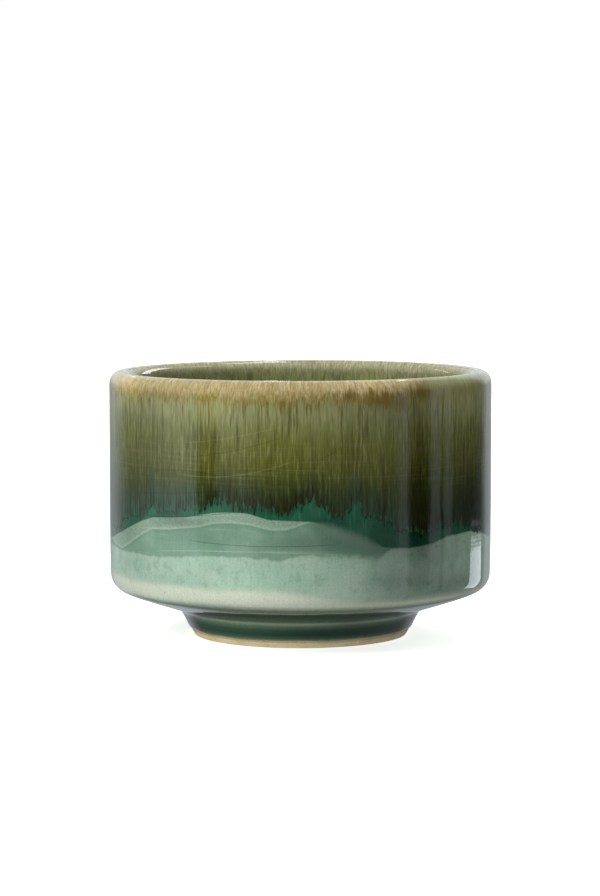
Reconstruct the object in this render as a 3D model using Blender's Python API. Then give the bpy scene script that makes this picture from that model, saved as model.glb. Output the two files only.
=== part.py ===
"""Glazed stoneware pot for standing brushes in: a short, straight-walled cup on a narrow foot ring.

The real pot is thrown and turned in one piece and then coated in glazes, so it is built as it is
made: one clay body, and one thin shell for each coat.  Every piece is an outline in the (radius,
height) plane, in millimetres, that is turned once about +Z and scaled to metres.

Each outline follows the pot's skin in one direction: up the inside from the floor's centre, over
the lip, down the outside, under the foot and into its recess.  Clay is then always on the right.

Frame: +Z is up the pot's axis, and the origin is the centre of the foot ring's resting face.
"""

from math import cos, inf, pi, radians, sin, tan

import bmesh
import bpy
from mathutils import Vector

MM = 0.001

# Driving dimensions, in millimetres.
OUTER_RADIUS = 50.0
HEIGHT = 69.4
WALL = 5.5
GLAZE = 0.8
GAP = 0.3  # clearance between two solids that touch on the real pot
SKIN_TO_CLAY = GLAZE + GAP

# Lip: a soft quarter round outside and a tighter one inside, which meet at the apex.
LIP_APEX_RADIUS = OUTER_RADIUS - 3.1
LIP_OUTER_DROP = 4.1
LIP_INNER_DROP = 2.6
LIP_POWER = 1.2  # 1 makes an elliptical quarter, and more makes it flatter in its middle
LIP_OUTER_STEPS = 6
LIP_INNER_STEPS = 4

# Outside of the bowl: the wall's taper, the shoulder, the neck above the foot, and the foot.
TAPER_HEIGHT = 24.0
SHOULDER_RADIUS = OUTER_RADIUS - 0.57
SHOULDER_HEIGHT = 14.0
SHOULDER_ROUND = 4.0
NECK_RADIUS = 31.55
NECK_HEIGHT = 6.63
NECK_ROUND = 2.0
FOOT_RADIUS = 27.84
FOOT_EDGE_ROUND = 0.4
BARE_FOOT_BAND = 2.9

# Inside of the bowl.
INNER_RADIUS = OUTER_RADIUS - WALL
INNER_CORNER_HEIGHT = 13.6
INNER_CORNER_ROUND = 12.0
INNER_FLOOR_HEIGHT = 12.2

# Recess under the foot.
RECESS_MOUTH_RADIUS = 21.5
RECESS_TOP_RADIUS = 20.4
RECESS_DEPTH = 3.0
RECESS_ROUND = 1.0
BARE_RECESS_BAND = 1.0

# The olive coat's lower edge laps over the thinned top of the celadon coat.
LAP_LOW = 36.0
LAP_HIGH = 42.0
LAP_COAT = (GLAZE - GAP) / 2.0

TURN_STEPS = 56
LEVEL_TOLERANCE = 1e-4
WELD = 1e-7  # metres
SHARP_ANGLE = radians(40.0)


def make_material(name, colour, roughness, metallic=0.0):
    """Principled material with a linear RGB colour."""
    material = bpy.data.materials.new(name)
    material.use_nodes = True
    shader = material.node_tree.nodes["Principled BSDF"]
    shader.inputs["Base Color"].default_value = (*colour, 1.0)
    shader.inputs["Roughness"].default_value = roughness
    shader.inputs["Metallic"].default_value = metallic
    material.diffuse_color = (*colour, 1.0)
    return material


def arc_in_corner(before, corner, after, radius, steps):
    """Points of the arc that touches both legs of a corner."""
    back = (before - corner).normalized()
    ahead = (after - corner).normalized()
    half_angle = back.angle(ahead) / 2.0
    centre = corner + (back + ahead).normalized() * (radius / sin(half_angle))
    start = corner + back * (radius / tan(half_angle)) - centre
    end = corner + ahead * (radius / tan(half_angle)) - centre
    return [centre + start.slerp(end, step / steps) * radius for step in range(steps + 1)]


def rounded(start, corners, end):
    """Polyline from start to end whose corners, as (radius, height, round, steps), are arcs."""
    stops = [Vector(start)] + [Vector(corner[:2]) for corner in corners] + [Vector(end)]
    path = [stops[0]]
    for before, stop, after, corner in zip(stops, stops[1:], stops[2:], corners):
        path += arc_in_corner(before, stop, after, *corner[2:])
    path.append(stops[-1])
    return path


def inset(path, depth):
    """The path moved to its right, which is into the clay.  An end on the axis stays there."""
    rights = []
    for start, end in zip(path, path[1:]):
        along = (end - start).normalized()
        rights.append(Vector((along.y, -along.x)))
    moved = []
    for point, before, after in zip(path, rights[:1] + rights, rights + rights[-1:]):
        mitre = (before + after) / (1.0 + before.dot(after))
        place = point + mitre * depth
        if point.x == 0.0:
            place.x = 0.0
        moved.append(place)
    return moved


def between(path, low, high):
    """The stretch of a path that lies between two heights, with its cut ends added."""
    split = [path[0]]
    for start, end in zip(path, path[1:]):
        bottom, top = sorted((start.y, end.y))
        levels = [level for level in (low, high) if bottom < level < top]
        for level in sorted(levels, reverse=start.y > end.y):
            split.append(start.lerp(end, (level - start.y) / (end.y - start.y)))
        split.append(end)
    return [p for p in split if low - LEVEL_TOLERANCE <= p.y <= high + LEVEL_TOLERANCE]


def lip_quarter(apex, foot, steps):
    """Quarter round from the lip's apex to the top of a wall."""
    quarter = []
    for step in range(steps + 1):
        turn = pi / 2.0 * step / steps
        across = sin(turn) ** LIP_POWER
        up = max(cos(turn), 0.0) ** LIP_POWER
        quarter.append(
            Vector((apex[0] + (foot[0] - apex[0]) * across, foot[1] + (apex[1] - foot[1]) * up))
        )
    return quarter


def inside(depth=0.0):
    """Path at a depth under the skin, from the floor's centre up the inside to the lip."""
    top = HEIGHT - LIP_INNER_DROP
    corner = (INNER_RADIUS, INNER_CORNER_HEIGHT, INNER_CORNER_ROUND, 7)
    wall = rounded((0.0, INNER_FLOOR_HEIGHT), [corner], (INNER_RADIUS, top))
    apex = (LIP_APEX_RADIUS - GAP / 2.0, HEIGHT - depth)
    lip = lip_quarter(apex, (INNER_RADIUS + depth, top), LIP_INNER_STEPS)
    return inset(wall, depth)[:-1] + lip[::-1]


def outside(depth=0.0):
    """Path at a depth under the skin, from the lip down the outside to the resting face."""
    top = HEIGHT - LIP_OUTER_DROP
    corners = [
        (OUTER_RADIUS, TAPER_HEIGHT, 200.0, 1),
        (SHOULDER_RADIUS, SHOULDER_HEIGHT, SHOULDER_ROUND, 5),
        (NECK_RADIUS, NECK_HEIGHT, NECK_ROUND, 3),
        (FOOT_RADIUS, 0.0, FOOT_EDGE_ROUND, 2),
    ]
    wall = rounded((OUTER_RADIUS, top), corners, (RECESS_MOUTH_RADIUS + 2.0, 0.0))[:-1]
    apex = (LIP_APEX_RADIUS + GAP / 2.0, HEIGHT - depth)
    lip = lip_quarter(apex, (OUTER_RADIUS - depth, top), LIP_OUTER_STEPS)
    return lip + inset(wall, depth)[1:]


def recess():
    """Path of the skin inside the foot ring, from its mouth to the axis."""
    corner = (RECESS_TOP_RADIUS, RECESS_DEPTH, RECESS_ROUND, 3)
    return rounded((RECESS_MOUTH_RADIUS, 0.0), [corner], (0.0, RECESS_DEPTH))


def turned(name, outline, material, closed):
    """Turn an outline about +Z into one closed, smooth-shaded body.

    A closed outline makes a ring.  An open one starts and ends on the axis.
    """
    model = bmesh.new()
    points = [model.verts.new((point.x * MM, 0.0, point.y * MM)) for point in outline]
    followers = points[1:] + (points[:1] if closed else [])
    edges = [model.edges.new(pair) for pair in zip(points, followers)]
    bmesh.ops.spin(
        model,
        geom=points + edges,
        cent=(0.0, 0.0, 0.0),
        axis=(0.0, 0.0, 1.0),
        angle=2.0 * pi,
        steps=TURN_STEPS,
        use_merge=True,
    )
    bmesh.ops.remove_doubles(model, verts=model.verts, dist=WELD)
    bmesh.ops.recalc_face_normals(model, faces=model.faces)
    mesh = bpy.data.meshes.new(name)
    model.to_mesh(mesh)
    model.free()
    mesh.shade_smooth()
    mesh.set_sharp_from_angle(angle=SHARP_ANGLE)
    mesh.materials.append(material)
    piece = bpy.data.objects.new(name, mesh)
    bpy.context.scene.collection.objects.link(piece)
    return piece


def stoneware_body():
    """The thrown clay: bowl and foot ring, set back wherever a coat covers it."""
    skin = outside()
    under = recess()
    outline = inside(SKIN_TO_CLAY)
    outline += [p for p in outside(SKIN_TO_CLAY) if p.y > BARE_FOOT_BAND + SKIN_TO_CLAY]
    outline += inset(between(skin, BARE_FOOT_BAND, HEIGHT), SKIN_TO_CLAY)[-1:]
    outline += between(skin, -inf, BARE_FOOT_BAND)
    outline += between(under, -inf, BARE_RECESS_BAND)
    outline += inset(between(under, BARE_RECESS_BAND, inf), SKIN_TO_CLAY)
    material = make_material("stoneware", (0.46, 0.36, 0.20), 0.75)
    return turned("stoneware_body", outline, material, closed=False)


def lining_glaze():
    """The coat poured inside, from the floor up to the lip's apex."""
    outline = inside() + inside(GLAZE)[::-1]
    material = make_material("lining_glaze", (0.15, 0.17, 0.07), 0.12)
    return turned("lining_glaze", outline, material, closed=False)


def olive_top_glaze():
    """The outer coat from the lip's apex down, thinned where it runs over the celadon."""
    outer = between(outside(), LAP_LOW, HEIGHT)
    lap_radius = OUTER_RADIUS - LAP_COAT
    lap = [Vector((lap_radius, LAP_LOW)), Vector((lap_radius, LAP_HIGH))]
    inner = between(outside(GLAZE), LAP_HIGH, HEIGHT)
    material = make_material("olive_glaze", (0.105, 0.115, 0.035), 0.12)
    return turned("olive_top_glaze", outer + lap + inner[::-1], material, closed=True)


def celadon_base_glaze():
    """The outer coat from under the olive's edge, round the shoulder and down to the foot."""
    foot = BARE_FOOT_BAND + GAP
    shelf = LAP_LOW - GAP
    tip = LAP_HIGH - GAP
    tongue_radius = OUTER_RADIUS - LAP_COAT - GAP
    tongue = [Vector((tongue_radius, tip)), Vector((tongue_radius, shelf))]
    outer = between(outside(), foot, shelf)
    inner = inset(between(outside(), foot, tip), GLAZE)
    material = make_material("celadon_glaze", (0.30, 0.46, 0.35), 0.12)
    return turned("celadon_base_glaze", tongue + outer + inner[::-1], material, closed=True)


def foot_recess_glaze():
    """The coat on the underside of the floor, inside the bare foot ring."""
    skin = between(recess(), BARE_RECESS_BAND + GAP, inf)
    material = make_material("recess_glaze", (0.06, 0.12, 0.08), 0.15)
    return turned("foot_recess_glaze", skin[::-1] + inset(skin, GLAZE), material, closed=False)


def build():
    for old in list(bpy.data.objects):
        bpy.data.objects.remove(old, do_unlink=True)
    pot = bpy.data.objects.new("brush_pot", None)
    bpy.context.scene.collection.objects.link(pot)
    for make in (
        stoneware_body,
        lining_glaze,
        olive_top_glaze,
        celadon_base_glaze,
        foot_recess_glaze,
    ):
        make().parent = pot


build()
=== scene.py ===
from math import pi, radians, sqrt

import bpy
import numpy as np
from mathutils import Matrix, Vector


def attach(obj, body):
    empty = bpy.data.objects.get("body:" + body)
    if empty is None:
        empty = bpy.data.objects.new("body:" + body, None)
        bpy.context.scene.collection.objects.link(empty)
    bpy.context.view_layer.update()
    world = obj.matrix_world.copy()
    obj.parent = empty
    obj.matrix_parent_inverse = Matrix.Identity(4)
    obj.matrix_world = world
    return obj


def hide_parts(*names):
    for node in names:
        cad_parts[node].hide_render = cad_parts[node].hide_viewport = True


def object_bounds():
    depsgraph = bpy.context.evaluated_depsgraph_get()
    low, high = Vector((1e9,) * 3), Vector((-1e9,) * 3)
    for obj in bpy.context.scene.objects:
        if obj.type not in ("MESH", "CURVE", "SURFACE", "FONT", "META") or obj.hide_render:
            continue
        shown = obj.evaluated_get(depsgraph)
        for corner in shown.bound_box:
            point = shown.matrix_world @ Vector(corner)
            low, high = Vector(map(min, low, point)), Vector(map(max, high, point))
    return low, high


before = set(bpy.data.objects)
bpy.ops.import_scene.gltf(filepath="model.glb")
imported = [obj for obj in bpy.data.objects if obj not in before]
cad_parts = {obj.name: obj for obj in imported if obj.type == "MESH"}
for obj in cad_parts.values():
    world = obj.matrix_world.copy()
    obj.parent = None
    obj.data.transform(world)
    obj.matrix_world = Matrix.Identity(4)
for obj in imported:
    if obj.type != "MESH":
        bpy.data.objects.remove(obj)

# Looks of the glazed brush pot: fine turned coats of glaze, their materials, and a plain studio.
#
# Angles are in degrees round the pot, from the front (-Y) towards its right (+X).  Lengths are in
# millimetres until a mesh is made.  "down" is the distance along the skin from the lip's apex: it
# grows down the outside of the pot, and is negative on the inside.

cad_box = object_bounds()
MM = 0.001

# ------------------------------ shape

OUTER_RADIUS = cad_box[1].x / MM
HEIGHT = cad_box[1].z / MM
INNER_RADIUS = OUTER_RADIUS - 5.5
LIP_APEX_RADIUS = OUTER_RADIUS - 3.1
LIP_OUTER_DROP = 3.6
LIP_INNER_DROP = 2.6
PAST_LIP = 6.0  # this far down the skin, the lip has become the wall

# Corners of the outside, as radius, height and the round that eases them.
TAPER = (OUTER_RADIUS, 24.0, 200.0)
SHOULDER = (OUTER_RADIUS - 0.20, 13.05, 4.5)
NECK = (31.7, 6.95, 3.8)
FOOT = (28.0, 0.0)
# Corner and centre of the inside, and of the recess under the foot.
BOWL_CORNER = (INNER_RADIUS, 13.6, 12.0)
BOWL_CENTRE = (0.0, 12.2)
RECESS_MOUTH = (21.5, 0.0)
RECESS_CORNER = (20.4, 3.0, 1.0)
RECESS_CENTRE = (0.0, 3.0)
RING_OUTER_ROUND, RING_INNER_ROUND = 0.45, 0.35

PATH_STEP = 0.05
PATH_BLUR = 0.25  # how far the turner's sponge rounds every corner
RING_ROWS_STEP = 6  # path points between the clay's rows under the foot

# The underside is crowned between these heights, with a turned ridge just before the lower one.
CROWN, CROWN_TOP, CROWN_END = 0.06, 12.6, 7.5
RIDGE, RIDGE_BEFORE, RIDGE_WIDTH = 0.06, 0.2, 0.55
RIM_LEAN = 0.12  # the rim's left side is twice this much lower than its right side

# The glaze coats, as depths under the skin.
COAT_BACK = 0.70
CLAY_DEPTH = 0.75
OLIVE_DEPTH = 0.02
CELADON_DEPTH = 0.05
LINING_DEPTH, LINING_LAP_DEPTH = 0.03, 0.06
RECESS_DEPTH = 0.10
BARE_CLAY_DEPTH = 0.34
UNEVEN = 0.08  # middle of the depths that a handmade surface has, and its greatest swing outwards
FOOT_PROUD = 0.16  # how far the coats may come out below the shoulder
LAP = 3.0  # how far the celadon runs up under the olive's edge
RIM_ROLL = 1.3  # how far the olive runs over the lip's apex to the inside
BARE_BAND = 2.05  # width of the unglazed band at the foot

FINE_COLUMNS = 1152
PLAIN_COLUMNS = 480


def step_lengths(points):
    return np.hypot(*np.diff(points, axis=0).T)


def bell(width, reach):
    """Weights of a blur, over this reach of steps to either side."""
    weights = np.exp(-0.5 * (np.arange(-reach, reach + 1) / width) ** 2)
    return weights / weights.sum()


def eased(start, corner, end, steps=24):
    """Arc in a corner, which is a radius, a height and a round."""
    point = np.array(corner[:2])
    back = np.array(start[:2]) - point
    ahead = np.array(end[:2]) - point
    back /= np.hypot(*back)
    ahead /= np.hypot(*ahead)
    half = np.arccos(np.clip(back @ ahead, -1.0, 1.0)) / 2.0
    middle = back + ahead
    centre = point + middle / np.hypot(*middle) * corner[2] / np.sin(half)
    first = point + back * corner[2] / np.tan(half) - centre
    last = point + ahead * corner[2] / np.tan(half) - centre
    turn = pi - 2.0 * half
    share = np.linspace(0.0, 1.0, steps)[:, None]
    swept = first * np.sin((1.0 - share) * turn) + last * np.sin(share * turn)
    return centre + swept / np.sin(turn)


def lip_quarter(wall_radius, drop):
    """Quarter round from the lip's apex to the top of a wall."""
    turn = np.linspace(0.0, pi / 2.0, 40)
    radius = LIP_APEX_RADIUS + (wall_radius - LIP_APEX_RADIUS) * np.sin(turn)
    return np.column_stack([radius, HEIGHT - drop + drop * np.cos(turn)])


class Path:
    """A run of the skin in the (radius, height) plane, sampled evenly along its length."""

    def __init__(self, points, start=0.0, blur=PATH_BLUR):
        points = np.asarray(points, float)
        points = points[np.r_[True, step_lengths(points) > 1e-6]]
        length = np.r_[0.0, np.cumsum(step_lengths(points))]
        even = np.linspace(0.0, length[-1], int(length[-1] / PATH_STEP) + 1)
        self.place = np.column_stack([np.interp(even, length, line) for line in points.T])
        self.soften(blur / PATH_STEP)
        self.down = even + start
        self.face_out()

    def soften(self, width):
        """Blurs the path, reflected about its end points, so that they stay where they are."""
        reach = int(3.0 * width)
        for axis in (0, 1):
            line = self.place[:, axis]
            before = 2.0 * line[0] - line[reach:0:-1]
            after = 2.0 * line[-1] - line[-2 : -reach - 2 : -1]
            line = np.convolve(np.r_[before, line, after], bell(width, reach), "valid")
            self.place[:, axis] = line

    def face_out(self):
        """Finds the way out of the clay, which is to the left of the run."""
        slope = np.gradient(self.place, self.down, axis=0)
        slope /= np.hypot(*slope.T)[:, None]
        self.out = np.column_stack([-slope[:, 1], slope[:, 0]])

    def swell(self, amount):
        """Moves the path outwards by an amount at each of its points."""
        self.place += self.out * amount[:, None]
        self.face_out()

    def at(self, down, depth):
        """Radius and height at a distance along the skin and a depth under it."""
        return [
            np.interp(down, self.down, line) - np.interp(down, self.down, out) * depth
            for line, out in zip(self.place.T, self.out.T)
        ]

    def height_at(self, down):
        return np.interp(down, self.down, self.place[:, 1])

    def down_at_height(self, height):
        """Distance along the skin of a height on the outside wall."""
        wall = self.down > PAST_LIP
        return np.interp(-np.asarray(height), -self.place[wall, 1], self.down[wall])


def skin_path():
    """The pot's skin: inside from the floor's centre to the lip and over it, then the underside."""
    inner_top = (INNER_RADIUS, HEIGHT - LIP_INNER_DROP)
    outer_top = (OUTER_RADIUS, HEIGHT - LIP_OUTER_DROP)
    inside = np.vstack([
        [BOWL_CENTRE],
        eased(BOWL_CENTRE, BOWL_CORNER, inner_top),
        lip_quarter(INNER_RADIUS, LIP_INNER_DROP)[::-1],
    ])
    outside = np.vstack([
        lip_quarter(OUTER_RADIUS, LIP_OUTER_DROP),
        eased(outer_top, TAPER, SHOULDER),
        eased(TAPER, SHOULDER, NECK),
        eased(SHOULDER, NECK, FOOT),
        [FOOT],
    ])
    skin = Path(np.vstack([inside, outside]), start=-step_lengths(inside).sum())
    start, end = skin.down_at_height([CROWN_TOP, CROWN_END])
    share = np.clip((skin.down - start) / (end - start), 0.0, 1.0)
    ridge = RIDGE * np.exp(-(((skin.down - end + RIDGE_BEFORE) / RIDGE_WIDTH) ** 2))
    skin.swell(ridge + CROWN * np.sin(pi * share) ** 2)
    return skin


SKIN = skin_path()
FOOT_DOWN = SKIN.down[-1]
FLOOR_DOWN = SKIN.down[0]
SHOULDER_DOWN = SKIN.down_at_height(13.2)

# ------------------------------ where one glaze gives way to another, and where painted reflection begins

# Each line is a height on the wall at angles round the pot.
DRIP_LINE = [
    (-180, 33), (-168, 35.5), (-160, 31), (-150, 34), (-141, 36.5), (-133, 32.5), (-122, 35.5),
    (-112, 37), (-103, 33.5), (-92, 31), (-80, 29.5), (-67, 30.4), (-64, 33.4), (-57, 34.3),
    (-51, 34.5), (-48, 37.9), (-45, 35.8), (-39, 36.2), (-33, 37.1), (-29, 37.8), (-24, 39.6),
    (-18, 39), (-13, 38.6), (-8, 37.5), (-4, 36.7), (-1, 38.4), (3, 40.2), (5, 38.5), (7, 38.7),
    (9, 36.3), (13, 36.2), (16, 39.6), (19, 36.4), (23, 35.4), (28, 33.2), (33, 31.2), (40, 30.8),
    (47, 32.2), (54, 31.8), (61, 30.4), (70, 29), (80, 30.5), (90, 34), (99, 36.5), (108, 33),
    (118, 35), (126, 37.5), (137, 34), (146, 36), (158, 38), (169, 34.5),
]
# The next three lines bound the light band and the paler greens below it, which are partly glaze
# overlaps and partly a painted reflection of the bright table.
BAND_TOP = [
    (-180, 29), (-160, 26.5), (-140, 31), (-120, 32.5), (-105, 29), (-90, 26.8), (-77, 26.6),
    (-66, 29.1), (-53, 33), (-48, 34.2), (-35, 35), (-26, 36.5), (-20, 36.9), (-15, 36.7),
    (-9, 35.2), (-2, 35), (3, 34.8), (7, 33.6), (11, 32.2), (15, 30.8), (20, 29), (24, 27.9),
    (33, 27.3), (41, 27.9), (48, 29.3), (58, 29.7), (67, 28.6), (76, 26.7), (90, 27.5),
    (105, 31.5), (118, 33.5), (128, 33), (140, 29.5), (155, 31.5), (168, 31.5),
]
BAND_LOW = [
    (-180, 29), (-160, 26.5), (-148, 28), (-138, 29), (-125, 30), (-112, 29.5), (-100, 28),
    (-90, 26.8), (-77, 26), (-66, 24.7), (-61, 26.3), (-53, 29.5), (-48, 31.3), (-42, 31.6),
    (-30, 32.8), (-26, 33.8), (-20, 34.2), (-15, 33.9), (-8, 32.6), (-4, 32.7), (1, 34.2),
    (3, 34.8), (7, 33.6), (11, 32.2), (15, 30.8), (20, 29), (24, 27.9), (33, 27.3), (41, 27.9),
    (48, 29.3), (58, 29.7), (67, 28.6), (76, 26.7), (90, 27.5), (100, 28.8), (112, 30.2),
    (122, 30.6), (132, 29.6), (140, 28.6), (155, 31.5), (168, 31.5),
]
MID_LOW = [
    (-180, 24.5), (-160, 24), (-140, 25.5), (-120, 26), (-100, 24.6), (-85, 25), (-70, 24.4),
    (-66, 24.3), (-57, 24.4), (-45, 24.4), (-35, 25.3), (-23, 25.8), (-13, 25.6), (-6, 25.1),
    (0, 26.5), (12, 26.5), (20, 25.3), (24, 25.6), (27, 27.7), (33, 27.3), (41, 27.9), (48, 29.3),
    (58, 29.7), (67, 28.6), (76, 26.7), (90, 26), (105, 26.5), (120, 25), (135, 26.8), (150, 26),
    (165, 25.2),
]
EDGE_SOFTNESS = 0.16
# Over this arc the emerald fades into the green below it, with no edge.
FADE_CENTRE, FADE_WIDTH, FADE_SOFTNESS = 14.0, 8.5, 2.4


def even_angles(columns):
    return np.arange(columns) * 360.0 / columns - 180.0


def apart(angles, centre):
    """Angles counted from a centre, from -180 to 180."""
    return (angles - centre + 180.0) % 360.0 - 180.0


def round_the_pot(points, angles, blur=0.5):
    """A line of (angle, value) points as a smooth closed curve, read at even angles."""
    at, values = zip(*points)
    line = np.interp(angles, at, values, period=360.0)
    width = blur / (360.0 / len(angles))
    reach = int(4.0 * width) + 1
    return np.convolve(np.r_[line[-reach:], line, line[:reach]], bell(width, reach), "valid")


def waves(angles, down, seed, count, turns, per_mm=(0.0, 0.0)):
    """Smooth relief that closes round the pot, as a sum of waves, about -1 to 1."""
    draw = np.random.default_rng(seed)
    total = np.zeros(np.broadcast(angles, down).shape)
    for _ in range(count):
        around = draw.integers(turns[0], turns[1] + 1)
        along = draw.uniform(*per_mm) * draw.choice([-1.0, 1.0])
        phase = draw.uniform(0.0, 2.0 * pi)
        total += np.sin(np.radians(angles) * around + down * along * 2.0 * pi + phase)
    return total / sqrt(count)


def teeth(angles, seed, spacing, reach):
    """Rounded tongues with sharp notches between them: how far each angle hangs down."""
    draw = np.random.default_rng(seed)
    centres = np.arange(0.0, 360.0, spacing)
    centres = centres + draw.uniform(-0.3, 0.3, len(centres)) * spacing
    widths = draw.uniform(0.45, 0.8, len(centres)) * spacing
    lengths = draw.uniform(0.15, 1.0, len(centres)) ** 1.5 * reach
    hang = np.zeros_like(angles)
    for centre, width, length in zip(centres, widths, lengths):
        hang = np.maximum(hang, length * (1.0 - (apart(angles, centre) / width) ** 2))
    return hang


def drip_line(angles):
    """Distance along the skin of the olive coat's ragged lower edge."""
    # The line is raised a little, because the tongues only hang down.
    line = round_the_pot(DRIP_LINE, angles, 0.35) + 0.7
    return SKIN.down_at_height(line - teeth(angles, 5, 3.1, 1.4) - teeth(angles, 9, 1.2, 0.8))


def glaze_line_at_foot(angles):
    """Distance along the skin of the celadon's lower edge, a little uneven."""
    return FOOT_DOWN - BARE_BAND + 0.12 * waves(angles, 0.0, 21, 5, (2, 17))


def handmade(angles, down):
    """How far the surface stands in from a true turning, never less than nothing."""
    shape = 0.030 * waves(angles, down, 2, 5, (2, 5), (0.0, 0.004))
    rings = 0.003 * waves(angles, down, 3, 6, (0, 3), (0.12, 0.30))
    dimples = 0.005 * waves(angles, down, 4, 12, (14, 40), (0.02, 0.08))
    return UNEVEN - np.clip(shape + rings + dimples, -0.12, UNEVEN)


# ------------------------------ meshes

# Umber runs under the lip: middle angle, half width, how far down they are centred, half length.
UMBER = [
    (14, 4, 5.2, 1.6), (23, 6, 6.2, 2.6), (30, 3, 7.6, 2.2), (37, 4, 4.6, 3.2), (101, 9, 6.2, 3.5),
    (113, 5, 7, 4), (166, 8, 5.6, 3), (-148, 7, 6.6, 4), (-96, 6, 6, 2.6),
]

# Each of these is a value at angles round the pot.  How strong the honey band is:
HONEY_BAND = [
    (-180, 0.8), (-160, 1), (-120, 0.7), (-95, 1), (-30, 1), (10, 1), (28, 1), (36, 0.8),
    (41, 0.15), (60, 0.1), (80, 0.2), (95, 0.8), (120, 1), (145, 0.5), (165, 0.6),
]
# How far the green below shows through the olive near its edge:
SHEER = [
    (-180, 0.5), (-150, 1), (-120, 0.3), (-90, 0.4), (-62, 1), (-34, 1), (-28, 0.15), (10, 0.2),
    (15, 0.7), (31, 0.7), (34, 0.1), (42, 0.1), (46, 0.6), (62, 0.3), (90, 0.8), (120, 0.3),
    (150, 0.8),
]
# How high the cream reaches on the shoulder:
CREAM_TOP = [
    (-180, 16.5), (-150, 17.5), (-120, 15), (-95, 15.5), (-80, 17.4), (-5, 17.2), (8, 15.8),
    (20, 14.7), (60, 14.4), (80, 15), (100, 17), (140, 17.5), (160, 15.5),
]

# Thick and thin places, and places of painted light and shade: angle, half width, height, half
# height, and how much lighter or darker.
# Painted light among these: a dark reflection at 36.5, lighter high and darker low on the wall at 54
# and 60, and a highlight on the lip at -65 and -60.
OLIVE_TONES = [
    (36.5, 4.5, 44, 11, -0.52), (-27, 3, 62, 3, 0.12), (-27, 5, 54, 4, -0.2),
    (-50, 12, 54, 13, -0.26), (-42, 8, 46, 5, -0.05), (60, 10, 38, 7, -0.45), (50, 6, 41, 6, 0.15),
    (-65, 9, 66, 4, 0.22), (54, 14, 62, 6, 0.35), (-20, 8, 64, 3, 0.15), (20, 9, 60, 4, -0.12),
    (140, 10, 48, 9, -0.25), (-130, 9, 50, 8, -0.2), (105, 8, 58, 6, 0.15),
    (-165, 8, 46, 7, -0.25), (-60, 7, 66, 3, 0.22), (20, 7, 66.5, 2.5, 0.28),
    (-55, 8, 59.5, 2.5, -0.12), (32, 6, 59.5, 3, -0.18),
]
# Painted light among these: lighter left and darker right on the foot and by the neck (4.2 to 7
# high), and the places 11.8 to 13.3 high, which shape a painted highlight line along the shoulder.
CELADON_TONES = [
    (8, 12, 30, 3.5, -0.34), (8, 6, 34.2, 1.8, -0.3), (24, 8, 31, 4, -0.32), (36, 7, 30, 5, -0.45),
    (44, 7, 30.5, 2.5, -0.25), (22, 9, 27.5, 3, -0.28), (40, 14, 25.5, 4.5, -0.33),
    (33, 16, 19, 4, -0.28), (50, 14, 17.5, 2.5, -0.22), (-15, 13, 20, 5, 0.08),
    (-50, 14, 21, 5, -0.14), (-30, 12, 29.5, 2.5, -0.12), (-62, 8, 30, 3, -0.2),
    (-38, 9, 34, 1.6, -0.36), (-32, 10, 27.5, 2.5, 0.18), (120, 14, 22, 4, -0.15),
    (-140, 12, 21, 4, 0.12), (175, 14, 20, 5, -0.12), (-32, 26, 4.8, 1.8, 0.4),
    (20, 26, 4.2, 1.6, -0.35), (30, 8, 19, 3, -0.14), (53, 7, 25, 5, 0.28), (0, 6, 29, 2.4, -0.2),
    (-15, 8, 19, 3, 0.08), (-28, 16, 13.3, 0.8, -0.2), (48, 16, 13, 1.3, 0.32),
    (-46, 8, 11.8, 0.9, 0.25), (24, 12, 7, 1.1, -0.32),
]


def spot(angles, along, centre, width, middle, reach):
    """A soft spot, 1 at its middle."""
    return np.exp(-((apart(angles, centre) / width) ** 2) - ((along - middle) / reach) ** 2)


def thickness_and_painted_light(places, angles, down):
    """Lightness of a coat from its thickness and from painted light and shade, 1 where there is
    neither.
    """
    tone = 1.0
    for *place, gain in places:
        tone = tone * (1.0 + gain * spot(angles, SKIN.height_at(down), *place))
    return tone


def honey_band(angles):
    return round_the_pot(HONEY_BAND, angles, 3.0)


def fuller_foot(down):
    """Below the shoulder the coats may lie a little proud of the turned skin."""
    return FOOT_PROUD * np.clip((down - SHOULDER_DOWN) / 4.0, 0.0, 1.0)


def lean(angles, radius, height):
    """Heights with the rim's slight tilt: level at the foot, most at the rim."""
    tilt = RIM_LEAN * np.sin(np.radians(angles)) * radius / OUTER_RADIUS
    return height + (tilt - RIM_LEAN) * height / HEIGHT


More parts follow.
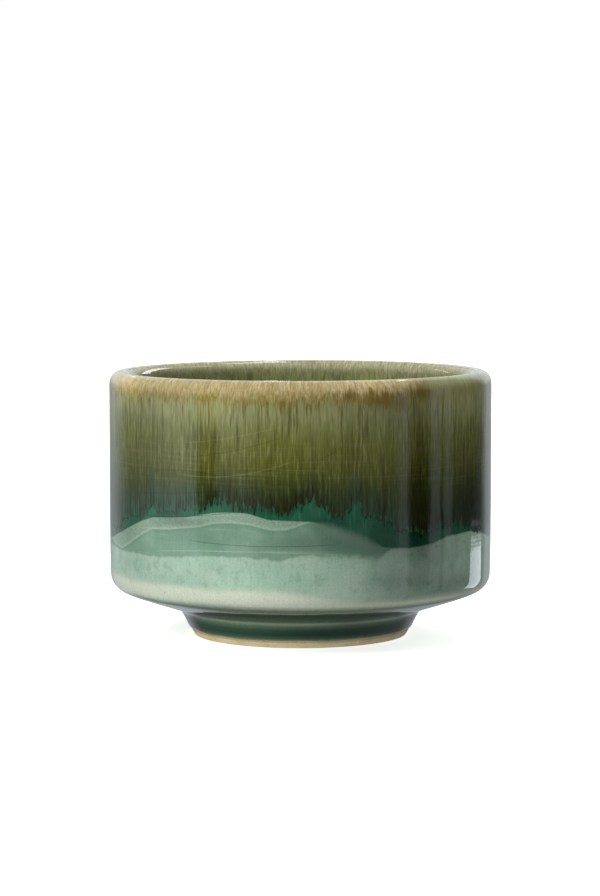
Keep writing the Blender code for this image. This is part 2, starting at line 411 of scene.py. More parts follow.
def turned_mesh(name, angles, radius, height, facts, ring=True):
    """Mesh from rows of radius and height, one column an angle, that run with clay on their right.

    A ring's last row joins its first.  Otherwise the first and last rows are points on the axis.
    """
    if not ring:
        radius[[0, -1]] = 0.0
        height[[0, -1]] = height[[0, -1]].mean(axis=1, keepdims=True)
    turn = np.radians(angles)
    place = [radius * np.sin(turn), -radius * np.cos(turn), lean(angles, radius, height)]
    grid = [np.broadcast_to(value, radius.shape) for value in (*place, *facts.values())]
    grid = np.stack(grid, axis=-1)
    (rows, columns), depth = radius.shape, grid.shape[-1]
    if ring:
        points = grid.reshape(-1, depth)
        upper = np.arange(rows * columns).reshape(rows, columns)
        lower = np.roll(upper, -1, axis=0)
        fans = []
    else:
        points = np.vstack([grid[0, :1], grid[1:-1].reshape(-1, depth), grid[-1, :1]])
        index = 1 + np.arange((rows - 2) * columns).reshape(rows - 2, columns)
        upper, lower = index[:-1], index[1:]
        follow = np.roll(index, -1, axis=1)
        last = np.full(columns, len(points) - 1)
        top = np.column_stack([np.zeros(columns, int), index[0], follow[0]])
        fans = [*top.tolist(), *np.column_stack([index[-1], last, follow[-1]]).tolist()]
    corners = [upper, lower, np.roll(lower, -1, axis=1), np.roll(upper, -1, axis=1)]
    quads = np.stack(corners, axis=-1).reshape(-1, 4).tolist()
    mesh = bpy.data.meshes.new(name)
    mesh.from_pydata((points[:, :3] * MM).tolist(), [], quads + fans)
    for key, values in zip(facts, points[:, 3:].T):
        layer = mesh.attributes.new(key, "FLOAT", "POINT")
        layer.data.foreach_set("value", np.ascontiguousarray(values, np.float32))
    mesh.shade_smooth()
    mesh.update()
    piece = bpy.data.objects.new(name, mesh)
    bpy.context.scene.collection.objects.link(piece)
    return piece


def rows_between(start, end, count, crowd=1.0):
    """Rows from start to end, which may differ from column to column, crowded to the end."""
    share = 1.0 - (1.0 - np.linspace(0.0, 1.0, count)) ** crowd
    return start + (end - start) * share[:, None]


def rolled_edge(to_edge, width, thickness):
    """How far a coat's surface sinks as it rounds over at its edge."""
    near = np.clip(1.0 - to_edge / width, 0.0, 1.0)
    return thickness * (1.0 - np.sqrt(np.clip(1.0 - near**2, 0.0, 1.0)))


def olive_coat():
    """Outer coat: rolls over the lip from inside and ends in the ragged drip edge."""
    angles = even_angles(FINE_COLUMNS)
    edge = drip_line(angles)
    top = -RIM_ROLL + 0.12 * waves(angles, 0.0, 31, 6, (3, 20))
    level = np.zeros_like(angles)
    ragged = 24.0  # from here down the rows bend towards the ragged edge
    turn = np.array([0.0, 0.015, 0.05, 0.11, 0.18])[:, None]  # rows that round each edge over
    face = np.vstack([
        top + turn,
        rows_between(top + 0.3, PAST_LIP, 22)[:-1],
        rows_between(level + PAST_LIP, ragged, 18)[:-1],
        rows_between(ragged, edge - 0.25, 26, 1.6),
        edge - turn[::-1],
    ])
    depth = OLIVE_DEPTH + handmade(angles, face)
    depth = depth + rolled_edge(face - top, 0.3, LINING_LAP_DEPTH - OLIVE_DEPTH - 0.03)
    # Back of the coat: thin over the celadon, then down to the clay, and thin again inside the lip.
    back = np.vstack([
        edge - LAP * 0.9,
        edge - LAP - 0.4,
        level + 12.0,
        level + 3.0,
        level + 1.0,
        top + 1.2,
        top + 0.7,
    ])
    back_depth = np.array([CELADON_DEPTH - 0.01, *[COAT_BACK] * 5, LINING_LAP_DEPTH - 0.01])
    back_depth = back_depth[:, None] + handmade(angles, back)
    down = np.vstack([face, back])
    radius, height = SKIN.at(down, np.vstack([depth, back_depth]))
    facts = {
        "down": down,
        "edge": edge - down,
        "umber": np.max([spot(angles, down, *run) for run in UMBER], axis=0),
        "honey": honey_band(angles),
        "sheer": round_the_pot(SHEER, angles, 1.5),
        "tone": thickness_and_painted_light(OLIVE_TONES, angles, down),
    }
    return turned_mesh("olive_coat", angles, radius, height, facts)


def celadon_coat():
    """Outer coat below the olive: from under its edge, round the shoulder, down to the foot."""
    angles = even_angles(FINE_COLUMNS)
    drip = drip_line(angles)
    start = drip - LAP
    end = glaze_line_at_foot(angles)
    middle = SKIN.down_at_height(22.0)
    face = np.vstack([rows_between(start, middle, 34)[:-1], rows_between(middle, end, 42, 1.25)])
    to_end = end - face
    depth = CELADON_DEPTH + handmade(angles, face) - fuller_foot(face)
    depth = depth - 0.07 * np.exp(-(((to_end - 0.9) / 0.7) ** 2))
    depth = depth + rolled_edge(to_end, 0.9, 0.35) + rolled_edge(face - start, 0.6, 0.3)
    back = rows_between(end - 0.8, start + 0.5, 9)
    down = np.vstack([face, back])
    radius, height = SKIN.at(down, np.vstack([depth, COAT_BACK + handmade(angles, back)]))
    high = SKIN.height_at(down)
    fade = np.exp(-(((angles - FADE_CENTRE) / FADE_WIDTH) ** 4))
    softness = EDGE_SOFTNESS + FADE_SOFTNESS * fade
    facts = {
        "down": down,
        "edge": down - drip,
        "foot": end - down,
        "below_top": (round_the_pot(BAND_TOP, angles) - high) / softness,
        "below_band": (round_the_pot(BAND_LOW, angles) - high) / softness,
        "below_mid": (round_the_pot(MID_LOW, angles) - high) / (0.35 + 0.5 * (softness > 1.0)),
        "cream": round_the_pot(CREAM_TOP, angles, 3.0),
        "tone": thickness_and_painted_light(CELADON_TONES, angles, down),
    }
    facts = {key: np.clip(value, -90.0, 90.0) for key, value in facts.items()}
    return turned_mesh("celadon_coat", angles, radius, height, facts)


def lining_coat():
    """Inner coat, from the floor's centre up to under the olive coat's inner edge."""
    angles = even_angles(PLAIN_COLUMNS)
    top = np.full_like(angles, -RIM_ROLL + 1.1)
    floor = np.full_like(angles, FLOOR_DOWN)
    corner = FLOOR_DOWN + 30.0
    face = np.vstack([rows_between(floor, corner, 26)[:-1], rows_between(corner, top, 72, 1.1)])
    lap = np.clip(1.0 - (top - face) / 2.2, 0.0, 1.0)
    # The unevenness dies out towards the axis, where its waves would crowd into a star.
    off_axis = np.clip((face - floor) / 34.0, 0.0, 1.0)
    depth = UNEVEN + (handmade(angles, face) - UNEVEN) * off_axis
    depth = depth + LINING_DEPTH + (LINING_LAP_DEPTH - LINING_DEPTH) * np.sqrt(lap)
    depth = depth + rolled_edge(top - face, 0.3, 0.2)
    back = rows_between(top - 0.4, floor, 16)
    back_depth = COAT_BACK + handmade(angles, back)
    back_depth[-1] = COAT_BACK + 2.0 * UNEVEN
    down = np.vstack([face, back])
    radius, height = SKIN.at(down, np.vstack([depth, back_depth]))
    facts = {"down": down, "honey": honey_band(angles)}
    return turned_mesh("lining_coat", angles, radius, height, facts, ring=False)


def underside_path():
    """The resting face and the recess, from the foot's outer edge to the axis."""
    outer_edge = (*FOOT, RING_OUTER_ROUND)
    inner_edge = (*RECESS_MOUTH, RING_INNER_ROUND)
    above_foot = SKIN.place[-40]
    points = [
        eased(above_foot, outer_edge, inner_edge),
        eased(outer_edge, inner_edge, RECESS_CORNER),
        eased(RECESS_MOUTH, RECESS_CORNER, RECESS_CENTRE),
        [RECESS_CENTRE],
    ]
    return Path(np.vstack(points), blur=0.12)


def clay_body():
    """The thrown clay: shows only in the bare band round the foot and under it."""
    angles = even_angles(PLAIN_COLUMNS)
    level = np.zeros_like(angles)
    glaze_end = glaze_line_at_foot(angles)
    bare_top = glaze_end - 0.5
    covered = rows_between(FLOOR_DOWN, bare_top - 1.2, 66)
    covered_depth = CLAY_DEPTH + handmade(angles, covered)
    bare = rows_between(bare_top, FOOT_DOWN - 0.6, 12)
    grain = 0.02 * waves(angles, bare, 41, 14, (40, 160), (0.2, 0.9))
    bare_depth = BARE_CLAY_DEPTH + grain - fuller_foot(bare)
    radius, height = SKIN.at(np.vstack([covered, bare]), np.vstack([covered_depth, bare_depth]))
    # The foot's edge and ring follow the bare band, which stands in from the skin.
    under = underside_path()
    ring = under.place[::RING_ROWS_STEP].copy()
    ring[-1] = under.place[-1]
    ring_radius, ring_height = ring.T[:, :, None]
    at_edge = np.clip(1.0 - np.linspace(0.0, 8.0, len(ring)), 0.0, 1.0)[:, None]
    ring_radius = ring_radius - (BARE_CLAY_DEPTH - FOOT_PROUD) * at_edge
    ring_height = ring_height + CLAY_DEPTH * np.clip((ring_height - 1.0) / 0.8, 0.0, 1.0)
    ring_down = FOOT_DOWN + under.down[::RING_ROWS_STEP, None]
    radius = np.vstack([radius, ring_radius + level])
    height = np.vstack([height, ring_height + level])
    down = np.vstack([covered, bare, ring_down + level])
    facts = {"down": down, "foot": down - glaze_end}
    return turned_mesh("clay_body", angles, radius, height, facts, ring=False)


def recess_coat():
    """Coat inside the foot ring, pooled a little in its corner."""
    angles = even_angles(PLAIN_COLUMNS)
    under = underside_path()
    start = under.down[np.argmax(under.place[:, 1] > 1.25)]
    start = start + 0.10 * waves(angles, 0.0, 51, 6, (3, 24))
    face = rows_between(start, under.down[-1], 46)
    depth = RECESS_DEPTH + 0.02 * waves(angles, face, 52, 8, (2, 9), (0.05, 0.2))
    depth = depth + rolled_edge(face - start, 0.7, 0.35)
    back = rows_between(under.down[-1], start + 0.6, 10)
    down = np.vstack([back, face])
    radius, height = under.at(down, np.vstack([np.full_like(back, COAT_BACK), depth]))
    facts = {"down": down, "edge": down - start}
    return turned_mesh("recess_coat", angles, radius, height, facts, ring=False)


# ------------------------------ materials

# Heights in millimetres of a relief of 1.
GLAZE_RELIEF, CELADON_RELIEF, CLAY_RELIEF = 0.014, 0.012, 0.045
LINE_REACH = 0.17  # how far a fine line reaches to either side


def linear(red, green, blue):
    """Scene-linear colour of an 8-bit display colour."""
    parts = [part / 255.0 for part in (red, green, blue)]
    return [part / 12.92 if part <= 0.04045 else ((part + 0.055) / 1.055) ** 2.4 for part in parts]


class Value:
    """A number or a colour that a node gives out, with plain arithmetic."""

    def __init__(self, look, socket):
        self.look, self.socket = look, socket

    def __add__(self, other):
        return self.look.maths("ADD", self, other)

    def __sub__(self, other):
        return self.look.maths("SUBTRACT", self, other)

    def __rsub__(self, other):
        return self.look.maths("SUBTRACT", other, self)

    def __mul__(self, other):
        return self.look.maths("MULTIPLY", self, other)

    def rise(self, low, high):
        """0 below low and 1 above high, eased between; low above high turns it round."""
        if low > high:
            return (self * -1.0).rise(-low, -high)
        made = self.look.node("ShaderNodeMapRange", interpolation_type="SMOOTHSTEP")
        for socket, number in zip(made.inputs, (self, low, high, 0.0, 1.0)):
            self.look.join(socket, number)
        return Value(self.look, made.outputs[0])

    def toward(self, colour, share):
        """This colour with a share of another over it."""
        return self.look.mix(share, self, colour)


class Look:
    """One material's node tree, written as arithmetic; colours are 8-bit display colours."""

    def __init__(self, name):
        self.material = bpy.data.materials.new(name)
        self.material.use_nodes = True
        self.tree = self.material.node_tree
        self.tree.nodes.clear()
        self.place = self.scaled(self.node("ShaderNodeTexCoord").outputs["Object"], 1.0 / MM)
        x, y, self.z = self.split(self.place)
        unit = self.node("ShaderNodeVectorMath", operation="NORMALIZE")
        self.join(unit.inputs[0], self.combined(x, y, 0.0))
        self.rim_place = self.scaled(unit.outputs[0], OUTER_RADIUS)
        self.angle = self.heading(x, y)

    def node(self, kind, **settings):
        made = self.tree.nodes.new(kind)
        for key, value in settings.items():
            setattr(made, key, value)
        return made

    def join(self, socket, value):
        value = getattr(value, "socket", value)
        if isinstance(value, bpy.types.NodeSocket):
            self.tree.links.new(value, socket)
        elif isinstance(value, tuple):
            socket.default_value = (*linear(*value), 1.0)
        else:
            socket.default_value = value

    def maths(self, operation, *values, clamp=False):
        made = self.node("ShaderNodeMath", operation=operation, use_clamp=clamp)
        for socket, value in zip(made.inputs, values):
            self.join(socket, value)
        return Value(self, made.outputs[0])

    def scaled(self, vector, amount):
        """A vector or a colour times a number."""
        made = self.node("ShaderNodeVectorMath", operation="SCALE")
        self.join(made.inputs[0], vector)
        self.join(made.inputs[3], amount)
        return Value(self, made.outputs[0])

    def combined(self, *parts):
        made = self.node("ShaderNodeCombineXYZ")
        for socket, value in zip(made.inputs, parts):
            self.join(socket, value)
        return Value(self, made.outputs[0])

    def split(self, vector):
        made = self.node("ShaderNodeSeparateXYZ")
        self.join(made.inputs[0], vector)
        return [Value(self, socket) for socket in made.outputs]

    def heading(self, x, y):
        """Angle round the pot, in degrees."""
        return self.maths("ARCTAN2", x, y * -1.0) * (180.0 / pi)

    def fact(self, name):
        """A number that the mesh holds for each of its points."""
        return Value(self, self.node("ShaderNodeAttribute", attribute_name=name).outputs["Fac"])

    def mix(self, share, first, second):
        made = self.node("ShaderNodeMix", data_type="RGBA")
        for place, value in ((0, share), (6, first), (7, second)):
            self.join(made.inputs[place], value)
        return Value(self, made.outputs[2])

    def ramp(self, value, stops):
        """Colours or grey levels at values, blended between."""
        made = self.node("ShaderNodeValToRGB")
        first, last = stops[0][0], stops[-1][0]
        self.join(made.inputs[0], self.maths("DIVIDE", value - first, last - first, clamp=True))
        points = made.color_ramp.elements
        while len(points) < len(stops):
            points.new(0.5)
        for point, (at, colour) in zip(points, stops):
            point.position = (at - first) / (last - first)
            shade = linear(*colour) if isinstance(colour, tuple) else [colour] * 3
            point.color = (*shade, 1.0)
        return Value(self, made.outputs[0])

    def noise(self, size, detail=2.0, roughness=0.5, vector=None):
        """Noise about 0.5, with features about size millimetres wide."""
        made = self.node("ShaderNodeTexNoise")
        self.join(made.inputs["Vector"], vector or self.place)
        self.join(made.inputs["Scale"], 1.0 / size)
        self.join(made.inputs["Detail"], detail)
        self.join(made.inputs["Roughness"], roughness)
        return Value(self, made.outputs["Fac"])

    def threads(self, down, size, stretch, detail, roughness, sway=0.35, shift=0.0):
        """Noise drawn out down the pot, as glaze draws out when it runs."""
        x, y, _ = self.split(self.rim_place)
        drift = (self.noise(6.0, 1.0) - 0.5) * sway
        run = down * (1.0 / stretch) + shift
        return self.noise(size, detail, roughness, self.combined(x + drift, y + drift, run))

    def rings(self, down, size):
        """Noise drawn out round the pot, as the wheel draws it out."""
        x, y, _ = self.split(self.scaled(self.rim_place, 0.03))
        return self.noise(size, 2.0, 0.6, self.combined(x, y, down))

    def paint(self, colour, share):
        """Lays a share of another colour over the material's colour."""
        self.colour = self.colour.toward(colour, share)

    def finish(self, roughness, relief, relief_height):
        """Gloss, relief and output; relief_height is in millimetres for a relief of 1."""
        bump = self.node("ShaderNodeBump")
        self.join(bump.inputs["Strength"], 1.0)
        self.join(bump.inputs["Distance"], relief_height * MM)
        self.join(bump.inputs["Height"], relief)
        shader = self.node("ShaderNodeBsdfPrincipled")
        self.join(shader.inputs["Base Color"], self.colour)
        self.join(shader.inputs["Roughness"], roughness)
        self.join(shader.inputs["Normal"], bump.outputs[0])
        self.join(shader.inputs["IOR"], 1.5)
        output = self.node("ShaderNodeOutputMaterial")
        self.join(output.inputs["Surface"], shader.outputs[0])
        return self.material


# Fine lines in the glazes, each a curve through three (angle, height) points.
OLIVE_PALE_LINES = [
    ((-38, 53.3), (-22, 54.9), (-3, 58.8)),
    ((-40, 46.0), (-22, 45.6), (1, 50.7)),
    ((-20, 58.0), (-17, 61.9), (-12, 64.8)),
    ((64, 44.0), (82, 49.0), (104, 50.0)),
    ((132, 47.0), (150, 51.5), (171, 52.0)),
    ((-150, 52.0), (-128, 49.0), (-104, 53.5)),
]
OLIVE_DARK_LINES = [
    ((-38, 49.8), (-21, 51.7), (-3, 56.2)),
    ((-56, 40.0), (-27, 41.6), (-2, 44.5)),
    ((-50, 45.4), (-36, 46.6), (-20, 45.0)),
    ((4, 50.0), (9, 51.5), (14, 55.0)),
    ((70, 55.0), (90, 53.0), (112, 57.5)),
    ((-144, 43.5), (-120, 46.0), (-98, 45.0)),
]
CELADON_PALE_LINES = [
    ((-48, 25.6), (-30, 26.8), (14, 26.4)),
    ((-57, 31.2), (-45, 31.4), (-33, 32.6)),
    ((-13, 17.6), (0, 18.4), (14, 18.7)),
    ((24, 16.6), (38, 17.4), (52, 17.0)),
    ((92, 20.0), (115, 22.5), (140, 21.5)),
    ((-150, 23.0), (-125, 21.0), (-102, 22.4)),
]
CELADON_DARK_LINES = [
    ((-53, 34.2), (-32, 35.4), (-9, 38.3)),
    ((-36, 29.4), (-12, 28.6), (12, 29.2)),
    ((110, 31.5), (128, 29.6), (150, 30.6)),
]


def line_mask(look, lines, reach=LINE_REACH):
    """1 on the lines, fading to 0 as far as they reach."""
    total = 0.0
    for (a, p), (b, q), (c, r) in lines:
        bend = ((r - q) / (c - b) - (q - p) / (b - a)) / (c - a)
        slope = (q - p) / (b - a) - bend * (a + b)
        level = p - slope * a - bend * a * a
        curve = (look.angle * bend + slope) * look.angle + level
        line = look.maths("ABSOLUTE", look.z - curve).rise(reach, 0.0)
        total = line * look.angle.rise(a, a + 6.0) * look.angle.rise(c, c - 6.0) + total
    return look.maths("MINIMUM", total, 1.0)


def orange_peel(look):
    """The slight ripple of a melted coat."""
    return look.noise(3.2, 2.0, 0.4) + look.noise(9.0) * 2.0


def coat_threads(look, down):
    """Threads of three widths that run down every coat above the celadon."""
    fine = look.threads(down, 0.62, 18.0, 2.0, 0.6)
    hair = look.threads(down, 0.32, 9.0, 1.0, 0.5, shift=7.0)
    broad = look.threads(down, 2.2, 9.0, 2.0, 0.5, 1.5, shift=3.0)
    return fine, hair, broad


def pale_threads(threads):
    """1 on the palest of the fine threads."""
    fine, hair, _ = threads
    return (fine * 0.5 + hair * 0.5).rise(0.53, 0.66)


def thread_shade(threads, fine_share, hair_share):
    """Lightness of a coat along its threads, about 1."""
    fine, hair, _ = threads
    return (fine - 0.5) * fine_share + (hair - 0.5) * hair_share + 1.0


def lip_glaze(look, down, threads, olive):
    """Honey outside the lip and khaki inside it, breaking up into the olive along the threads."""
    fine, hair, broad = threads
    away = look.maths("ABSOLUTE", down)
    inside = down.rise(0.6, -0.6)
    weak = (1.0 - look.fact("honey")) * (1.0 - inside) * 9.0
    ragged = (fine - 0.5) * 6.0 + (broad - 0.5) * 5.0 + (hair - 0.5) * 3.6
    at = away + ragged + weak + inside * 1.6
    fleck = look.threads(away, 0.46, 3.4, 2.0, 0.6, shift=11.0)
    patch = broad.rise(0.36, 0.64)
    honey = look.mix(patch, (180, 160, 106), (198, 180, 128))
    lip = look.mix(patch, (172, 169, 130), (190, 186, 148))
    look.colour = look.mix(inside, honey, lip)
    look.paint((222, 208, 170), fleck.rise(0.54, 0.68) * 0.60)
    look.paint((146, 124, 66), fleck.rise(0.46, 0.34) * 0.55)
    light = fleck.rise(0.44, 0.60)
    khaki = look.mix(light, (134, 116, 54), (160, 149, 92))
    drab = look.mix(light, (134, 138, 92), (162, 163, 122))
    look.paint(look.mix(inside, khaki, drab), at.rise(3.8, 6.6))
    look.paint(olive, at.rise(5.6, 9.0))
    # The glaze is thin and grey on the very edge of the lip.
    worn = (away + (broad - 0.5) * 1.6).rise(1.1, 0.0)
    look.paint((132, 142, 134), worn * 0.7)


def over_the_edge(look, down, above):
    """1 where the olive shows at a height above its edge, in strands that hang over the edge."""
    strand = look.threads(down, 0.36, 7.0, 1.0, 0.5, shift=31.0)
    lock = look.threads(down, 1.0, 6.0, 1.0, 0.5, shift=43.0)
    return (above + (strand - 0.5) * 7.0 + (lock - 0.5) * 3.0).rise(-0.35, 0.45)


def olive_look():
    look = Look("olive_glaze")
    run_down = look.fact("down")
    down = look.maths("ABSOLUTE", run_down)
    edge = look.fact("edge")
    fine, hair, broad = threads = coat_threads(look, down)
    cloud = look.noise(14.0)
    olive = look.ramp(down + (broad - 0.5) * 8.0 + (cloud - 0.5) * 6.0, [
        (6, (150, 150, 98)), (10, (144, 147, 98)), (13, (130, 135, 80)), (17, (114, 118, 56)),
        (23, (98, 103, 40)), (28, (76, 85, 34)), (36, (50, 60, 28)),
    ])
    lip_glaze(look, run_down, threads, olive)
    # Pale and dark threads.
    below_lip = down.rise(5.0, 9.0)
    pale = pale_threads(threads) * below_lip * down.rise(38.0, 16.0)
    look.paint((164, 168, 126), pale * 0.24)
    dark = (fine * 0.55 + broad * 0.45).rise(0.50, 0.37)
    look.paint((72, 70, 18), dark * below_lip * 0.50)
    # Faint throwing lines round the wall.
    middle = down.rise(10.0, 16.0) * down.rise(32.0, 24.0)
    look.paint((126, 124, 88), look.rings(down, 0.7).rise(0.50, 0.68) * middle * 0.34)
    # Umber runs where the coat is thickest under the lip.
    run = look.fact("umber")
    umber = run + (fine - 0.5) * 2.6 + (broad - 0.5) * 0.9 + (hair - 0.5) * 1.8
    look.paint((116, 92, 26), umber.rise(0.30, 0.95) * run.rise(0.06, 0.30) * 0.78)
    # Near its edge the coat darkens, with green from the coat below showing between the threads.
    pool = edge + (fine - 0.5) * 5.0 + (broad - 0.5) * 3.5
    look.paint((48, 52, 26), pool.rise(9.0, 2.0) * 0.70)
    bristle = edge + (hair - 0.5) * 9.0
    look.paint((42, 42, 20), bristle.rise(4.0, 1.0) * 0.70)
    green = pool.rise(9.0, 3.0) * fine.rise(0.36, 0.60) * look.fact("sheer")
    look.paint((58, 98, 78), green * 0.68)
    look.colour = look.mix(over_the_edge(look, down, edge), (44, 98, 72), look.colour)
    look.paint((168, 168, 104), line_mask(look, OLIVE_PALE_LINES) * 0.28)
    dark_lines = line_mask(look, OLIVE_DARK_LINES) * 0.35
    look.paint((40, 42, 14), dark_lines)
    # The tone holds the coat's thick and thin places and some painted light and shade.
    look.colour = look.scaled(look.colour, look.fact("tone") * thread_shade(threads, 0.66, 0.72))
    relief = orange_peel(look) * 0.7 + fine * 0.5 + dark_lines * -0.9
    roughness = hair.rise(0.4, 0.7) * 0.04 + 0.035
    return look.finish(roughness, relief, GLAZE_RELIEF)


def celadon_look():
    look = Look("celadon_glaze")
    down = look.fact("down")
    edge = look.fact("edge")
    fine, _, broad = coat_threads(look, down)
    speck = look.noise(0.46, 2.0, 0.6)
    grain = look.noise(0.22, 1.0)
    mottle = look.noise(2.4, 3.0, 0.6)
    cloud = look.noise(9.0, 3.0)
    ring = look.rings(down, 0.9)
    wobble = (speck - 0.5) * 0.5 + (cloud - 0.5) * 0.8
    # The emerald below the drips, with strands of the olive hanging into it.
    emerald = look.mix(cloud.rise(0.35, 0.65), (34, 96, 68), (54, 112, 84))
    emerald = emerald.toward((66, 120, 92), fine.rise(0.52, 0.70) * 0.5)
    emerald = emerald.toward((28, 70, 48), (edge + (fine - 0.5) * 2.0).rise(1.6, 0.0) * 0.4)
    emerald = emerald.toward((40, 46, 24), over_the_edge(look, down, edge * -1.0))
    # The band has a painted highlight along its lower edge, and painted shade in the green just
    # below it.
    under_band = look.fact("below_band")
    band = look.mix(speck.rise(0.38, 0.66), (138, 168, 146), (150, 178, 156))
    # Painted highlights along the throwing rings in the band.
    band = band.toward((178, 204, 182), ring.rise(0.56, 0.72) * 0.25)
    band = band.toward((180, 204, 180), under_band.rise(-6.0, -1.0) * 0.45)
    middle = look.mix(cloud.rise(0.35, 0.65), (124, 162, 138), (144, 178, 155))
    middle = middle.toward((108, 142, 114), speck.rise(0.48, 0.70) * 0.40)
    middle = middle.toward((172, 200, 178), ring.rise(0.60, 0.70) * 0.35)
    middle = middle.toward((104, 146, 120), under_band.rise(9.0, 1.0) * 0.40)
    pale = look.mix(cloud.rise(0.32, 0.68), (168, 202, 180), (184, 212, 190))
    pale = pale.toward((146, 178, 154), speck.rise(0.52, 0.72) * 0.35)
    pale = pale.toward((142, 176, 150), mottle.rise(0.52, 0.66) * 0.45)
    # The band, the middle green and the pale green are partly glaze overlaps and partly a painted
    # reflection of the bright table.
    look.colour = look.mix(look.fact("below_top").rise(-1.0, 1.0), emerald, band)
    look.paint(middle, (under_band + wobble).rise(-1.0, 1.0))
    ragged = look.fact("below_mid") + wobble * 1.6 + (broad - 0.5) * 3.0
    look.paint(pale, ragged.rise(-1.2, 1.2))
    # Thin and creamy where it breaks over the shoulder, and lighter still with painted bounce light
    # from the table on the shoulder's downward face.
    above_cream = look.z + (speck - 0.5) * 1.6 + (cloud - 0.5) * 2.0 - look.fact("cream")
    look.paint((218, 227, 206), above_cream.rise(1.2, -1.2))
    # Below it, thick dark glaze, partly painted shade on the underside and foot, with a painted
    # highlight on the ridge by the neck at 6.8 and painted bounce light at 13.5 under the shoulder.
    under = look.ramp(look.z + (broad - 0.5) * 0.4, [
        (1.9, (150, 160, 128)), (2.6, (72, 108, 82)), (3.6, (40, 80, 58)), (4.8, (46, 86, 62)),
        (6, (96, 122, 92)), (6.8, (142, 162, 128)), (7.6, (112, 138, 108)), (9.6, (104, 136, 104)),
        (11.2, (96, 130, 92)), (12.2, (100, 134, 94)), (13.5, (208, 218, 198)),
    ])
    look.paint(under, look.z.rise(13.9, 13.2))
    # It thins out over the bare clay.
    thin = look.fact("foot") + (speck - 0.5) * 0.8
    look.paint((150, 140, 104), thin.rise(0.9, 0.0) * 0.6)
    # Warm flecks, dark pits, and fine lines round the wall.
    fleck = look.noise(0.5, 1.0).rise(0.60, 0.72) * look.z.rise(14.0, 17.0) * look.z.rise(31.0, 27.0)
    look.paint((170, 150, 108), fleck * 0.16)
    pits = look.noise(0.7, 0.0).rise(0.83, 0.88)
    look.paint((96, 112, 84), pits * 0.5)
    look.paint((196, 218, 196), line_mask(look, CELADON_PALE_LINES) * 0.40)
    dark_lines = line_mask(look, CELADON_DARK_LINES, 0.16)
    look.paint((30, 68, 48), dark_lines * 0.55)
    shade = (speck - 0.5) * 0.35 + (grain - 0.5) * 0.45 + (fine - 0.5) * 0.20 + 1.0
    # The tone holds the coat's thick and thin places and some painted light and shade.
    look.colour = look.scaled(look.colour, look.fact("tone") * shade)
    relief = orange_peel(look) * 0.7 + ring * 0.5 + pits * -0.8 + dark_lines * -0.6
    roughness = speck.rise(0.4, 0.8) * 0.05 + 0.04
    return look.finish(roughness, relief, CELADON_RELIEF)


def lining_look():
    look = Look("lining_glaze")
    run_down = look.fact("down")
    down = look.maths("ABSOLUTE", run_down)
    fine, _, broad = threads = coat_threads(look, down)
    olive = look.ramp(down + (fine - 0.5) * 5.0 + (broad - 0.5) * 7.0, [
        (3, (152, 154, 108)), (7, (138, 145, 80)), (11, (120, 131, 58)), (30, (84, 94, 40)),
        (48, (58, 76, 40)), (60, (44, 74, 50)), (80, (34, 70, 52)),
    ])
    lip_glaze(look, run_down, threads, olive)
    below_lip = down.rise(3.0, 6.0)
    wall = down.rise(66.0, 44.0)
    look.paint((168, 174, 120), pale_threads(threads) * below_lip * wall * 0.38)
    look.paint((66, 70, 24), broad.rise(0.46, 0.34) * below_lip * 0.45)
    look.paint((86, 116, 78), look.noise(10.0).rise(0.45, 0.65) * below_lip * 0.25)
    # The glaze pools on the floor, mottled and without threads.
    mottle = look.noise(3.0, 4.0, 0.6).rise(0.48, 0.62)
    look.paint((58, 96, 70), mottle * (1.0 - wall) * 0.5)
    look.colour = look.scaled(look.colour, (thread_shade(threads, 0.7, 0.9) - 1.0) * wall + 1.0)
    relief = orange_peel(look) * 0.7 + fine * wall * 0.5
    roughness = fine.rise(0.4, 0.7) * 0.05 + 0.05
    return look.finish(roughness, relief, GLAZE_RELIEF)


def recess_look():
    look = Look("recess_glaze")
    speck = look.noise(0.5, 2.0, 0.6)
    cloud = look.noise(7.0, 3.0, 0.55)
    ring = look.rings(look.fact("down"), 1.1)
    look.colour = look.mix(cloud.rise(0.35, 0.65), (60, 92, 70), (92, 124, 98))
    look.paint((116, 146, 118), ring.rise(0.52, 0.70) * 0.4)
    look.paint((52, 78, 56), speck.rise(0.55, 0.72) * 0.4)
    look.paint((158, 152, 116), (look.fact("edge") + (speck - 0.5)).rise(1.4, 0.2))
    relief = orange_peel(look) + ring * 0.8
    roughness = speck.rise(0.4, 0.8) * 0.08 + 0.08
    return look.finish(roughness, relief, GLAZE_RELIEF)


def clay_look():
    look = Look("stoneware")
    grain = look.noise(0.16, 3.0, 0.7)
    sand = look.noise(0.45, 2.0, 0.6)
    cloud = look.noise(5.0, 3.0, 0.55)
    ring = look.rings(look.fact("down"), 0.5)
    look.colour = look.mix(cloud.rise(0.3, 0.7), (250, 229, 180), (255, 240, 196))
    toast = cloud.rise(0.50, 0.36) * ring.rise(0.40, 0.60)
    look.paint((206, 180, 122), toast * 0.3)
    look.paint((190, 160, 110), grain.rise(0.50, 0.72) * 0.30)
    look.paint((204, 174, 124), ring.rise(0.52, 0.72) * 0.20)
    iron = look.noise(0.6, 0.0).rise(0.77, 0.83)
    look.paint((96, 62, 34), iron * 0.8)
    # A stained line where the glaze stops, and wear on the resting face.
    stain = look.fact("foot") + (sand - 0.5) * 0.8
    look.paint((150, 122, 76), stain.rise(0.9, 0.1) * 0.5)
    worn = look.z.rise(0.35, 0.1) * sand.rise(0.4, 0.6)
    look.paint((150, 134, 106), worn * 0.35)
    relief = grain + sand * 0.8 + ring * 0.8 + iron * -0.5
    roughness = grain * 0.25 + 0.62
    return look.finish(roughness, relief, CLAY_RELIEF)


# ------------------------------ studio

WHITE_GLOW = 1.02  # just over white, for the backdrop and the far floor
LAMP_AIM = 0.035  # height in metres of the place on the axis that the lamps face

